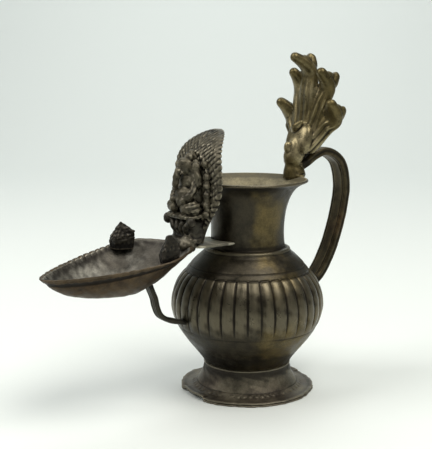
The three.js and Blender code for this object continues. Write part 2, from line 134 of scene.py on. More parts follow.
def mark_relief(mesh, rounds):
    """Saves how far each point stands out, in mm along its normal, from the surface smoothed over some
    rounds, less the broad swell of the surface, which is that height smoothed over many more."""
    places, mean = neighbours(mesh)
    flat = places
    for _ in range(rounds):
        flat = 0.4 * flat + 0.6 * mean(flat)
    normals = np.empty(places.size)
    mesh.vertices.foreach_get("normal", normals)
    height = ((places - flat) * normals.reshape(-1, 3)).sum(1, keepdims=True) / MM
    broad = height
    for _ in range(5 * rounds):
        broad = 0.4 * broad + 0.6 * mean(broad)
    height = (height - broad).ravel()
    mesh.attributes.new("relief", "FLOAT", "POINT").data.foreach_set("value", height.astype(np.float32))


def place(name, mesh, material, slot, *nodes, rounds=24):
    """Puts a mesh in the scene with its relief marked, riding on the lamp in the place of its nodes."""
    mark_relief(mesh, rounds)
    mesh.materials.append(material)
    piece = bpy.data.objects.new(name, mesh)
    bpy.context.scene.collection.objects.link(piece)
    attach(piece, "root")
    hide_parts(*nodes)
    return piece


def line_inside(piece, material, first_row, columns):
    """Gives the faces from one row of the grid on, which lie inside the vessel, a second finish."""
    piece.data.materials.append(material)
    inner = np.zeros(len(piece.data.polygons), np.int32)
    inner[first_row * columns:-2 * columns] = 1
    inner[-columns:] = 1
    piece.data.polygons.foreach_set("material_index", inner)


def patina_group():
    """Old bronze: a ground clouded with bloom, dark in hollows, rubbed on ridges, finely pitted."""
    group = bpy.data.node_groups.new("bronze_patina", "ShaderNodeTree")
    for label in ("Ground", "Bloom", "Hollow", "Rub"):
        group.interface.new_socket(label, in_out="INPUT", socket_type="NodeSocketColor")
    for label in ("Bloom share", "Hollow share", "Rub share", "Roughness"):
        group.interface.new_socket(label, in_out="INPUT", socket_type="NodeSocketFloat")
    group.interface.new_socket("Colour", in_out="OUTPUT", socket_type="NodeSocketColor")
    for label in ("Roughness", "Height"):
        group.interface.new_socket(label, in_out="OUTPUT", socket_type="NodeSocketFloat")
    nodes, links = group.nodes, group.links
    given, out = nodes.new("NodeGroupInput"), nodes.new("NodeGroupOutput")
    where = nodes.new("ShaderNodeTexCoord")
    relief, wear_and_shade_spot = nodes.new("ShaderNodeAttribute"), nodes.new("ShaderNodeAttribute")
    relief.attribute_name, wear_and_shade_spot.attribute_name = "relief", "wear_and_shade"

    def noise(scale, detail):
        node = nodes.new("ShaderNodeTexNoise")
        node.inputs["Scale"].default_value = scale
        node.inputs["Detail"].default_value = detail
        node.inputs["Roughness"].default_value = 0.62
        links.new(where.outputs["Object"], node.inputs["Vector"])
        return node.outputs["Fac"]

    def ramp(value, low, high, to_low, to_high):
        node = nodes.new("ShaderNodeMapRange")
        node.interpolation_type = "SMOOTHSTEP"
        for label, v in zip(("From Min", "From Max", "To Min", "To Max"), (low, high, to_low, to_high)):
            node.inputs[label].default_value = v
        links.new(value, node.inputs["Value"])
        return node.outputs["Result"]

    def sums(kind, one, other):
        node = nodes.new("ShaderNodeMath")
        node.operation = kind
        for socket, v in zip(node.inputs, (one, other)):
            if isinstance(v, float):
                socket.default_value = v
            else:
                links.new(v, socket)
        return node.outputs[0]

    def blend(kind, share, one, other):
        node = nodes.new("ShaderNodeMix")
        node.data_type, node.blend_type = "RGBA", kind
        for socket, v in ((node.inputs[0], share), (node.inputs[6], one), (node.inputs[7], other)):
            if isinstance(v, float):
                socket.default_value = v
            else:
                links.new(v, socket)
        return node.outputs[2]

    clouds, mottle, grain = noise(30, 4), noise(170, 6), noise(1100, 3)
    # The spot attribute adds bloom where the patina is rubbed through; below zero it takes the bloom away as
    # painted shade.
    wear_and_shade = sums("MULTIPLY", wear_and_shade_spot.outputs["Fac"], 0.34)
    bloom = ramp(sums("ADD", sums("ADD", clouds, wear_and_shade), given.outputs["Bloom share"]), 0.92, 1.14, 0, 1)
    low = ramp(sums("ADD", relief.outputs["Fac"], sums("MULTIPLY", mottle, 0.05)), 0.0, -0.15, 0, 1)
    sunk = sums("MULTIPLY", low, given.outputs["Hollow share"])
    raised = ramp(sums("ADD", relief.outputs["Fac"], sums("MULTIPLY", mottle, 0.10)), 0.08, 0.24, 0, 1)
    rubbed = sums("MULTIPLY", raised, given.outputs["Rub share"])
    colour = blend("MIX", bloom, given.outputs["Ground"], given.outputs["Bloom"])
    colour = blend("MULTIPLY", 1.0, colour, ramp(mottle, 0.3, 0.7, 0.62, 1.3))
    colour = blend("MULTIPLY", 1.0, colour, ramp(grain, 0.3, 0.7, 0.82, 1.16))
    colour = blend("MIX", sunk, colour, given.outputs["Hollow"])
    colour = blend("MIX", rubbed, colour, given.outputs["Rub"])
    links.new(colour, out.inputs["Colour"])
    rough = sums("ADD", given.outputs["Roughness"], ramp(mottle, 0.3, 0.7, -0.09, 0.12))
    rough = sums("ADD", rough, sums("MULTIPLY", sunk, 0.2))
    links.new(sums("SUBTRACT", rough, sums("MULTIPLY", rubbed, 0.06)), out.inputs["Roughness"])
    links.new(sums("ADD", mottle, sums("MULTIPLY", grain, 0.5)), out.inputs["Height"])
    return group


patina = patina_group()


def bronze(name, ground, bloom, hollow, rub, shares, roughness, metallic, pits):
    """A bronze finish: the patina group's colours and pitting on one metal shader."""
    material = bpy.data.materials.new(name)
    material.use_nodes = True
    nodes, links = material.node_tree.nodes, material.node_tree.links
    shader = nodes["Principled BSDF"]
    shader.inputs["Metallic"].default_value = metallic
    shader.inputs["Specular IOR Level"].default_value = 0.4
    skin_of = nodes.new("ShaderNodeGroup")
    skin_of.node_tree = patina
    for label, rgb in (("Ground", ground), ("Bloom", bloom), ("Hollow", hollow), ("Rub", rub)):
        skin_of.inputs[label].default_value = (*rgb, 1)
    for label, v in zip(("Bloom share", "Hollow share", "Rub share", "Roughness"), (*shares, roughness)):
        skin_of.inputs[label].default_value = v
    bump = nodes.new("ShaderNodeBump")
    bump.inputs["Strength"].default_value = pits
    bump.inputs["Distance"].default_value = 0.0005
    links.new(skin_of.outputs["Colour"], shader.inputs["Base Color"])
    links.new(skin_of.outputs["Roughness"], shader.inputs["Roughness"])
    links.new(skin_of.outputs["Height"], bump.inputs["Height"])
    links.new(bump.outputs["Normal"], shader.inputs["Normal"])
    return material


def ewer_profile():
    """Half section of the wall, (radius, height): spigot, belly, shoulder, neck, lip, then down inside."""
    t = np.linspace(0, 1, 40)
    low = bezier([(25.6, 17.2), (31, 26.5), (45.4, 38), (45.4, 52)], t)
    slowing = 1 - (1 - np.linspace(0, 1, 34)) ** 1.7
    high = bezier([(45.4, 52), (45.4, 59), (42.8, 67), (36.6, 72.6)], slowing)
    slope = np.linspace(0, 1, 30) ** 1.35
    shoulder = np.stack([36.6 - 11.3 * slope + 0.7 * np.sin(np.pi * slope), 72.6 + 11.6 * slope], -1)
    step = np.array([(25.35, 84.9), (25.0, 85.6), (23.9, 86.0), (22.8, 86.2)])
    neck = bezier([(22.3, 86.4), (20.5, 96), (21.7, 113), (28.2, 120.2)], np.linspace(0, 1, 30))
    flare = bezier([(28.2, 120.2), (30.4, 122.8), (34.9, 124.4)], np.linspace(0, 1, 12))[1:]
    lip = np.array([(35.3, 124.7), (35.5, 125.2), (35.2, 125.7), (34.6, 125.95), (33.9, 125.9),
                    (33.3, 125.6)])
    inside = np.concatenate([neck[::2], flare[::2]])[::-1] + [-2.4, 0.8]
    hollow = np.concatenate([low[4::3], high[::4]])[::-1] + [-2.2, 0]
    hollow = hollow[hollow[:, 1] < 72]
    spigot = np.array([(0.6, 15.0), (21.0, 15.0), (21.2, 15.2), (21.2, 17.0), (25.2, 17.05)])
    floor = np.array([(18, 19.0), (8, 18.0), (0.6, 17.6)])
    outside = np.concatenate([spigot, low, high[1:], shoulder[1:], step, neck, flare, lip])
    return np.concatenate([outside, inside, hollow, floor])


def ewer_grid():
    """The profile turned about the axis. Each gadroon is a low arch with a narrow groove at its sides,
    deepest at the top and dying out downwards, under a ledge groove; two scribed lines run round above
    and below."""
    profile = ewer_profile()
    r, z = profile[:, :1], profile[:, 1:]
    outer = (np.arange(len(profile)) < np.argmax(profile[:, 1]))[:, None]
    u = np.arange(FLUTES * 12) / 12.0
    turn = u + 0.6 * np.sin(2 * np.pi * u) / (2 * np.pi)
    angle = (2 * np.pi * turn / FLUTES)[None, :]
    off = np.abs(turn % 1 - 0.5)[None, :]
    uneven = 1 + 0.35 * wobble(angle, (3, 7, 11, 17), 4)
    shown = ease(38, 50, z) * (1 - ease(71.7, 72.3, z)) * outer * uneven
    arch = 0.5 + 0.5 * np.cos(2 * np.pi * off)
    flute = shown * (0.5 * arch + 0.75 * dent(off, 0, 0.07))
    ledge = 0.5 * dent(z, 72.15, 0.5) * (0.35 + 0.65 * (1 - dent(off, 0, 0.12))) * outer
    low_line = 39.2 + 0.4 * wobble(angle, (2, 5), 9)
    scribed = 0.34 * dent(z, 75.3, 0.36) + 0.2 * dent(z, 82.6, 0.4) + 0.3 * dent(z, low_line, 0.5)
    beaten = 0.16 * wobble(angle + 0.05 * z, (4, 9, 13, 21), 5) * outer * ease(17.4, 24, z)
    radius = r - flute - ledge - outer * scribed + beaten * ease(20, 30, r) - 0.1 * ease(20, 30, r) * outer
    return np.stack([radius * np.cos(angle), radius * np.sin(angle), z + 0 * angle], -1)


def mark_spots(mesh, *spots):
    """Saves where the patina is rubbed through, and where shade is painted: a bell round each spot,
    given as x, y, z about the axis, its reach and its strength; a strength below zero is painted
    shade, which takes the bloom away and darkens the colour."""
    places = neighbours(mesh)[0] / MM - [AXIS, 0, 0]
    worn = sum(spot[4] * dent(np.linalg.norm(places - spot[:3], axis=1), 0, spot[3]) for spot in spots)
    mesh.attributes.new("wear_and_shade", "FLOAT", "POINT").data.foreach_set("value", worn.astype(np.float32))


vessel_finish = bronze(
    "dark_brown_bronze", ground=(0.036, 0.030, 0.019), bloom=(0.100, 0.075, 0.030),
    hollow=(0.008, 0.006, 0.004), rub=(0.19, 0.165, 0.11),
    shares=(0.47, 0.65, 0.45), roughness=0.37, metallic=0.70, pits=0.34)
# Inside the mouth the bronze is khaki; its pale tone is painted light, for the light that falls in from
# above.
khaki_painted_light_finish = bronze(
    "khaki_inside_painted_light", ground=(0.20, 0.175, 0.105), bloom=(0.27, 0.24, 0.155),
    hollow=(0.05, 0.042, 0.026), rub=(0.34, 0.31, 0.22),
    shares=(0.46, 0.6, 0.4), roughness=0.55, metallic=0.4, pits=0.2)
wall = ewer_grid()
ewer = place("ewer_body", new_mesh("ewer_body", [skin(wall)]), vessel_finish, "vessel_bronze", "ewer")
# The last two spots are below zero: painted shade on the belly's left and the neck's left, where the dish and
# the plaque keep the light off.
mark_spots(ewer.data, (-5, -21, 102, 11, 1), (3, -38, 36, 14, 1), (-42, -16, 52, 24, -1.5),
           (-18, -12, 105, 16, -1.2))
line_inside(ewer, khaki_painted_light_finish, int(np.argmax(wall[:, 0, 2])), wall.shape[1])

# The foot: a flared bronze ring with a flat two-layered flange, cast apart and soldered to the belly at
# the waist. A row of beads runs where wall and flange meet; the flange is ragged and bent, and its lower
# layer is broken away on the side of the dish.
BEADS = 56


def foot_grid():
    """A closed half section turned about the axis: the flange's rim waves and bends, a chip eats its
    lower layer back over a few degrees, and the bead row swells out and up by the cosine of the angle."""
    under = np.stack([np.linspace(30.4, 39.4, 9), np.zeros(9)], -1)
    edge = np.array([(39.8, 0.2), (40, 0.6), (39.9, 0.95), (39.3, 1.15), (39.2, 1.3), (39.8, 1.5),
                     (40, 1.9), (39.7, 2.25)])
    top = np.stack([np.linspace(39.2, 33.3, 14), 2.4 + 0.5 * np.linspace(0, 1, 14) ** 2], -1)
    beads = bezier([(33.2, 2.95), (31.8, 3.0), (31.4, 4.0), (30, 4.7)], np.linspace(0, 1, 14))
    wall = bezier([(30, 4.7), (28, 8), (25.9, 11), (25.7, 15.9)], np.linspace(0, 1, 26))[1:]
    head = np.array([(25.9, 16.3), (25.8, 16.7), (25.4, 16.85), (23.6, 16.85), (21.8, 16.85)])
    inside = bezier([(21.7, 16.6), (22.4, 8), (29.4, 1.6)], np.linspace(0, 1, 14))
    profile = np.concatenate([under, edge, top, beads, wall, head, inside])
    r, z = profile[:, :1], profile[:, 1:]
    angle = (2 * np.pi * np.arange(BEADS * 12) / (BEADS * 12))[None, :]
    bearing = np.degrees(angle)
    outer = (np.arange(len(profile)) < len(profile) - len(inside))[:, None]
    brim = ease(33.5, 40, r) * outer
    ragged = 0.75 * wobble(angle, (5, 9, 14, 23, 37, 53), 21) - 0.35
    worn_away = ease(157, 161, bearing + 2 * wobble(z, (2.0,), 3)) * (1 - ease(193, 195, bearing))
    lower = (1 - ease(1.15, 1.35, z)) * ease(30.4, 33.5, r)
    radius = r + brim * ragged - worn_away * (4.2 * lower * ease(34, 40, r) + 0.7 * brim)
    bend = 1.5 * dent(bearing, 14, 17) + 0.6 * dent(bearing, 118, 20) + 1.1 * worn_away * ease(1.2, 1.5, z)
    ripple = 0.3 * brim * wobble(angle, (4, 7, 15, 29), 8) * ease(0.9, 1.3, z)
    lift = ease(33.5, 40, r) * ease(1.2, 1.5, z) * bend + ripple
    worn = np.clip(0.4 + 0.5 * wobble(angle, (2, 3, 6, 13, 29), 12), 0.1, 1)
    swell = dent(r, 31.9, 0.85) * (z < 5) * (z > 2.5) * np.abs(np.cos(BEADS * angle / 2)) ** 1.3 * worn
    seam = 0.3 * dent(z, 14.6, 0.35) * outer * (r > 25)
    beaten = 0.12 * wobble(angle + 0.1 * z, (5, 11, 16), 14) * (z > 5) * (r > 25) * outer
    radius = radius + 0.45 * swell - seam + beaten
    level = np.maximum(z + lift + 0.6 * swell, 0)
    return np.stack([radius * np.cos(angle), radius * np.sin(angle), level], -1)


foot_finish = bronze(
    "grey_brown_foot_bronze", ground=(0.088, 0.072, 0.052), bloom=(0.165, 0.145, 0.102),
    hollow=(0.012, 0.010, 0.008), rub=(0.26, 0.235, 0.17),
    shares=(0.46, 0.75, 0.45), roughness=0.44, metallic=0.58, pits=0.36)
foot = new_mesh("foot_ring", [skin(foot_grid(), ring_rows=True)])
place("foot_ring", foot, foot_finish, "vessel_bronze", "foot")

# The handle strap: a flat bar of bronze with moulded edges, soldered to the belly below and cast in one
# with the hood's stem above. Two scribed lines follow its faces.


def spline(points, n):
    """Smooth curve through points: cubic pieces over chord length, with tangents from the neighbours."""
    p = np.asarray(points, float)
    s = np.concatenate([[0], np.cumsum(np.linalg.norm(np.diff(p, axis=0), axis=1))])
    m = np.gradient(p, s, axis=0)
    u = np.linspace(0, s[-1], n)
    k = np.clip(np.searchsorted(s, u, side="right") - 1, 0, len(s) - 2)
    h = (s[k + 1] - s[k])[:, None]
    t = (u - s[k])[:, None] / h
    return ((2 * t**3 - 3 * t**2 + 1) * p[k] + (t**3 - 2 * t**2 + t) * h * m[k]
            + (3 * t**2 - 2 * t**3) * p[k + 1] + (t**3 - t**2) * h * m[k + 1])


def sweep(path, side, section):
    """Carries a section, (rows, columns, 2), along a path: first number across the bend, second along
    the side."""
    along = np.gradient(path, axis=0)
    along /= np.linalg.norm(along, axis=1, keepdims=True)
    across = np.cross(np.broadcast_to(side, along.shape), along)
    across /= np.linalg.norm(across, axis=1, keepdims=True)
    level = np.cross(along, across)
    return path[:, None] + across[:, None] * section[..., :1] + level[:, None] * section[..., 1:]


def bar_section(thick, wide, columns, square):
    """A superellipse outline: cosine and sine raised to a power below one, so the sides are flat."""
    a = 2 * np.pi * np.arange(columns) / columns
    c, s = np.cos(a), np.sin(a)
    u = thick / 2 * np.sign(c) * np.abs(c) ** (2 / square)
    return np.stack([u, wide / 2 * np.sign(s) * np.abs(s) ** (2 / square)], -1)


def strap_grid():
    """A flat bar carried along the handle's bend, scribed along its outer faces and its edges."""
    path = spline([(43.6, 0, 57), (52.6, 0, 63.4), (60.6, 0, 75.3), (66.8, 0, 90.2), (70.8, 0, 104.7),
                   (72.4, 0, 118), (67.2, 0, 134.2), (55, 0, 139.8), (46.6, 0, 137.2), (40.8, 0, 133),
                   (36, 0, 130.4)], 190)
    flat = bar_section(5.4, 12.4, 112, 4.5)[None]
    along = np.linspace(0, 1, len(path))[:, None]
    u, v = flat[..., 0], flat[..., 1]
    on_face = ease(1.4, 2.2, np.abs(u))
    cut = 0.42 * dent(np.abs(v), 3.9, 0.42) * on_face + 0.22 * dent(v, 0, 2.6) * on_face
    nick = 0.34 * dent(u, 0.3, 0.45) * ease(4.6, 5.6, np.abs(v))
    spread = 1 + 0.12 * dent(along, 0, 0.07) - 0.34 * ease(0.9, 0.98, along)
    spread = spread + 0.02 * wobble(30 * along, (1, 2, 3.7), 2)
    taper = np.clip(np.minimum(along, 1 - along) / 0.008, 0.05, 1) ** 0.5
    section = np.stack([(u - np.sign(u) * cut) * taper, (v - np.sign(v) * nick) * spread * taper], -1)
    return sweep(path, np.array([0.0, 1.0, 0.0]), section)


strap_finish = bronze(
    "grey_olive_strap_bronze", ground=(0.060, 0.048, 0.025), bloom=(0.095, 0.064, 0.032),
    hollow=(0.007, 0.006, 0.004), rub=(0.21, 0.18, 0.11),
    shares=(0.42, 0.8, 0.35), roughness=0.38, metallic=0.76, pits=0.28)
strap = new_mesh("handle_strap", [skin(strap_grid())])
place("handle_strap", strap, strap_finish, "hood_bronze", "naga_handle")

# The hood: five bronze serpents that fan out of one palm, each neck ribbed lengthwise and bent forward
# into a blunt head with a small crest, on a short stem that flares onto the lip. One casting, rubbed pale
# on the ribs.
PALM_HEIGHT = 140.5


def limb(points, radii, columns=40, rows=70, ribs=0.0, count=5, broad=0.0, soft=0, blunt=9.0):
    """A round bar along a curve softened over some rounds: its radius follows the given list and rounds
    off at both ends like a dome, swells by the ribs' share with the cosine of the angle, and is broader
    sideways below."""
    path = spline(points, rows)
    for _ in range(soft):
        path[1:-1] = 0.5 * path[1:-1] + 0.25 * (path[:-2] + path[2:])
    length = np.linalg.norm(np.diff(path, axis=0), axis=1)
    s = np.concatenate([[0], np.cumsum(length)])
    t = s / s[-1]
    knots = np.linspace(0, 1, len(radii))
    radius = spline(np.stack([knots * 100, radii, 0 * knots], -1), 400)
    radius = np.interp(t * 100, radius[:, 0], radius[:, 1])
    for end in (s, s[-1] - s):
        reach = np.clip(radius[0] if end is s else radius[-1], 0.3, blunt)
        radius = radius * np.sqrt(np.clip(1 - (1 - np.clip(end / reach, 0, 1)) ** 2, 0.0009, 1))
    angle = 2 * np.pi * np.arange(columns) / columns
    round_ = radius[:, None] * (1 + ribs * (1 - ease(0.5, 0.75, t))[:, None] * np.cos(count * angle)[None])
    wide = (broad * (1 - ease(0.74, 1.0, t)))[:, None]
    section = np.stack([round_ * np.cos(angle) * (1 - 0.3 * wide), round_ * np.sin(angle) * (1 + wide)], -1)
    return skin(sweep(path, np.array([0.02, 1.0, 0.05]), section))


def ball(centre, size, tilt=0.0, power=2.0):
    """An ellipsoid, boxier with a higher power, tipped about the line across the lamp."""
    lat = np.linspace(-0.499, 0.499, 26)[:, None] * np.pi
    lon = 2 * np.pi * np.arange(44)[None] / 44

    def push(v):
        return np.sign(v) * np.abs(v) ** (2 / power)

    girth = push(np.cos(lat))
    p = np.stack([size[0] * girth * push(np.cos(lon)), size[1] * girth * push(np.sin(lon)),
                  size[2] * push(np.sin(lat)) + 0 * lon], -1)
    c, s = np.cos(tilt), np.sin(tilt)
    p = np.stack([p[..., 0] * c + p[..., 2] * s, p[..., 1], p[..., 2] * c - p[..., 0] * s], -1)
    return skin(p + np.asarray(centre, float))


def fuse(name, parts, voxel, rounds):
    """Melts overlapping closed forms into one skin: a voxel remesh, then each point eased towards its
    neighbours."""
    rough = bpy.data.objects.new(name + "_rough", new_mesh(name + "_rough", parts))
    bpy.context.scene.collection.objects.link(rough)
    melt = rough.modifiers.new("melt", "REMESH")
    melt.mode, melt.voxel_size, melt.use_smooth_shade = "VOXEL", voxel * MM, True
    graph = bpy.context.evaluated_depsgraph_get()
    mesh = bpy.data.meshes.new_from_object(rough.evaluated_get(graph))
    bpy.data.objects.remove(rough)
    mesh.name = name
    places, mean = neighbours(mesh)
    for _ in range(rounds):
        places = 0.5 * places + 0.5 * mean(places)
    mesh.vertices.foreach_set("co", places.ravel())
    mesh.update()
    return mesh


def throat(nape):
    """Where a neck runs from the palm up to below its nape: sideways by a growing share of the nape's
    own."""
    x, y, z = nape
    rise = z - PALM_HEIGHT
    return [(40.4, 0.12 * y, PALM_HEIGHT), (44.2, 0.4 * y, PALM_HEIGHT + 0.42 * rise),
            (0.6 * x + 17.6, 0.72 * y, PALM_HEIGHT + 0.78 * rise)]


def serpent(nape, snout, crest):
    """One ribbed neck that bends forward into a wedge of a head: blunt snout in front, rounded crest
    behind."""
    nape, snout, crest = (np.asarray(p, float) for p in (nape, snout, crest))
    brow = nape + 0.42 * (snout - nape) + [0, 0, 1.4]
    saddle = 0.45 * brow + 0.55 * crest - [0, 0, 1.6]
    line = [*throat(nape), tuple(nape), tuple(brow), tuple(snout)]
    return [
        limb(line, [4.4, 5.0, 4.9, 4.8, 4.2, 2.6], 72, 130, 0.085, 9, 0.4, 60),
        limb([nape - [0, 0, 1], 0.5 * (nape + crest), crest], [4.4, 3.9, 1.9], 28, 40),
        ball((nape + brow + crest + snout) / 4, (4.4, 3.4, 3.2)),
        limb([0.5 * (brow + snout), saddle, crest], [1.6, 3.0, 1.6], 24, 40),
    ]


def web(one, other):
    """The skin of the hood between two necks: a ribbed bar along the middle of their lines."""
    low = np.array([0, 0, 4.0])
    ways = [np.array([*throat(nape), np.asarray(nape) - low]) for nape in (one, other)]
    return limb(0.5 * (ways[0] + ways[1]), [4.0, 4.6, 4.2, 3.2], 60, 70, 0.08, 9, 0.3)


def hood_parts():
    """Stem, boss, knob, palm with its leaf, and the five serpents: one on top and two on each side."""
    top = ((45.8, 0, 188.6), (31.4, 0, 197.6), (47.0, 0, 198.6))
    parts = [
        limb([(34.8, 0, 124.6), (34.4, 0, 127.2), (33.6, 0, 130.2), (33.4, 0, 133), (33.7, 0, 137),
              (35.4, 0, 141), (39.4, 0, 147)], [7.2, 6.4, 4.8, 5.9, 6.0, 5.8, 5.2], 56, 80, blunt=0.8),
        ball((34.6, 0, 126.0), (4.6, 9.2, 1.8)),
        limb([(29.8, 0, 146.6), (29.4, 0, 143.4), (30.6, 0, 138.6)], [1.7, 2.4, 2.0], 32, 40),
        ball((31.2, 0, 135.0), (3.0, 4.8, 3.4)),
        ball((44.6, 0, 152), (4.2, 14.0, 12.0)),
        ball((38.6, 0, 147.6), (4.8, 10.4, 10.2), 0.3, 2.7),
        limb([(36.4, 4.6, 151.6), (35.2, 0.2, 154.8), (37.0, -4.8, 158.8)], [0.8, 2.6, 0.8], 28, 40),
        *serpent(*top),
    ]
    for side in (-1, 1):
        middle = ((49.4, 12.4 * side, 179), (41.6, 13.2 * side, 189.6), (56.6, 13 * side, 187))
        low = ((48.4, 19.6 * side, 160.5), (40.4, 25.2 * side, 171.0), (53.6, 23.6 * side, 167))
        parts += serpent(*middle) + serpent(*low) + [web(top[0], middle[0]), web(middle[0], low[0])]
    return parts


hood_finish = bronze(
    "olive_hood_bronze", ground=(0.100, 0.078, 0.030), bloom=(0.27, 0.225, 0.125),
    hollow=(0.010, 0.008, 0.004), rub=(0.40, 0.34, 0.19),
    shares=(0.44, 0.9, 0.6), roughness=0.34, metallic=0.68, pits=0.32)
fan = fuse("serpent_hood", hood_parts(), voxel=0.42, rounds=3)
hood = place("serpent_hood", fan, hood_finish, "hood_bronze", "naga_handle", rounds=14)
mark_spots(hood.data, (35, -3, 147, 9, 1), (36, -8, 143, 6, 1))

# The lamp dish: a leaf-shaped bronze bowl, cast thin with a toothed rim, that runs up behind like a ramp
# to the plaque. The strut carries it. It is reddish brown outside and grey inside, where its paler
# patches are painted highlights of the light from above.
DISH_TIP = 132.0
DISH_MIDDLE = 51.0
DISH_FLOOR = 68.2
DISH_WALL = 1.9
DISH_INNER_ROW = 45


def dish_rim(n):
    """The rim in plan, from the tip all round: two Bezier curves a side, spaced evenly by length."""
    t = np.linspace(0, 1, 400)
    half = np.concatenate([bezier([(0, 0), (0, 12), (38, 31.5), (59, 33.5)], t),
                           bezier([(59, 33.5), (69, 33.5), (86, 24), (89, 0)], t)[1:]])
    whole = np.concatenate([half, half[-2:0:-1] * [1, -1]])
    s = np.concatenate([[0], np.cumsum(np.linalg.norm(np.diff(whole, axis=0, append=whole[:1]), axis=1))])
    u = np.arange(n) / n * s[-1]
    closed = np.concatenate([whole, whole[:1]])
    return np.stack([np.interp(u, s, closed[:, k]) for k in range(2)], -1), u, s[-1]


def dish_grid():
    """A skin from the middle of the floor out to the rim and back inside: its height rises with the
    share of the way out, to a power that is high at the tip and low at the rear corners; teeth stand
    along the front of the rim."""
    rim, run, length = dish_rim(560)
    a, w = rim[:, 0], rim[:, 1]
    dx = a - DISH_MIDDLE
    far = np.hypot(dx, w)
    rear = 2.5 - 1.05 * ease(0, 20, np.abs(w))
    steep = (4.4 + (rear - 4.4) * ease(-45, 25, dx))[None]
    top = np.minimum(81.3 + 7.3 * a / 70 + 2.7 * (a / 70) ** 2, 92)[None]
    from_tip = np.minimum(run, length - run)
    uneven = 0.75 + 0.5 * wobble(from_tip / 9, (1, 2.3), 6)
    toothed = ease(2, 8, from_tip) * (1 - ease(66, 74, from_tip)) * uneven
    jitter = 0.9 * wobble(run / 6, (1, 1.7, 2.9), 17)
    toothed = toothed * (0.65 + 0.35 * np.tanh(w / 4))
    teeth = toothed * (0.85 * np.abs(np.sin(np.pi * (from_tip + jitter) / 4.4)) ** 0.7 - 0.6)
    t = np.concatenate([np.linspace(0.03, 0.84, 26), np.linspace(0.86, 0.985, 16), [0.994, 1.0]])
    t = t[:, None]
    lip = 0.4 * ease(0.955, 0.975, t) - 0.35 * dent(t, 0.94, 0.016)
    share = t * (1 + (lip + 0.3 * teeth[None] * ease(0.96, 1, t) - 0.4) / far[None])
    height = DISH_FLOOR + (top - DISH_FLOOR) * t**steep
    outer = np.stack([dx * share, w * share, height + teeth * ease(0.93, 1, t)], -1)
    ti = np.concatenate([np.linspace(0.03, 0.84, 26), np.linspace(0.87, 1.0, 12)])[::-1, None]
    share = ti * (1 - (DISH_WALL + 0.2) / far[None])
    height = DISH_FLOOR + DISH_WALL + (top - DISH_FLOOR - DISH_WALL) * ti**steep
    inner = np.stack([dx * share, w * share, height + teeth * ease(0.93, 1, ti)], -1)
    round_over = 0.5 * (outer[-1:] + inner[:1]) + [0, 0, 0.35]
    return np.concatenate([outer, round_over, inner]) + [DISH_MIDDLE - DISH_TIP, 0, 0]


def weather(mesh, amount, size, seed):
    """Wears a surface: each point moves along its normal by a sum of sine waves in seeded directions."""
    places, _ = neighbours(mesh)
    rng = np.random.default_rng(seed)
    ways = rng.normal(size=(14, 3))
    pace = rng.uniform(0.6, 1.8, (14, 1)) / np.linalg.norm(ways, axis=1, keepdims=True)
    ways *= pace * 2 * np.pi / (size * MM)
    waves = np.sin(places @ ways.T + rng.uniform(0, 2 * np.pi, 14)).mean(1, keepdims=True)
    normals = np.empty(places.size)
    mesh.vertices.foreach_get("normal", normals)
    mesh.vertices.foreach_set("co", (places + normals.reshape(-1, 3) * waves * 2 * amount * MM).ravel())
    mesh.update()
    return mesh


dish_finish = bronze(
    "red_brown_dish_bronze", ground=(0.046, 0.028, 0.012), bloom=(0.075, 0.052, 0.028),
    hollow=(0.007, 0.005, 0.003), rub=(0.17, 0.14, 0.10),
    shares=(0.42, 0.9, 0.25), roughness=0.45, metallic=0.72, pits=0.4)
# Inside, the dish is grey; its paler ground and bloom are painted highlights, for the overhead light that it
# mirrors.
grey_inside_highlight_finish = bronze(
    "grey_inside_painted_highlights", ground=(0.070, 0.063, 0.050), bloom=(0.25, 0.24, 0.205),
    hollow=(0.016, 0.013, 0.010), rub=(0.30, 0.28, 0.23),
    shares=(0.50, 0.8, 0.5), roughness=0.42, metallic=0.55, pits=0.45)
hull = dish_grid()
beaten_bowl = weather(new_mesh("dish_bowl", [skin(hull)]), amount=0.14, size=8, seed=3)
bowl = place("dish_bowl", beaten_bowl, dish_finish, "dish_bronze", "lamp_dish")
line_inside(bowl, grey_inside_highlight_finish, DISH_INNER_ROW, hull.shape[1])
mark_spots(bowl.data, (-52, -12, 90, 12, 1), (-95, 4, 74, 14, 1))

# The dish ornaments: two small leaning blocks of dark bronze, peaked and scaled, cast on the dish's rim at
# both sides of the ramp. The near one is worn smoother.


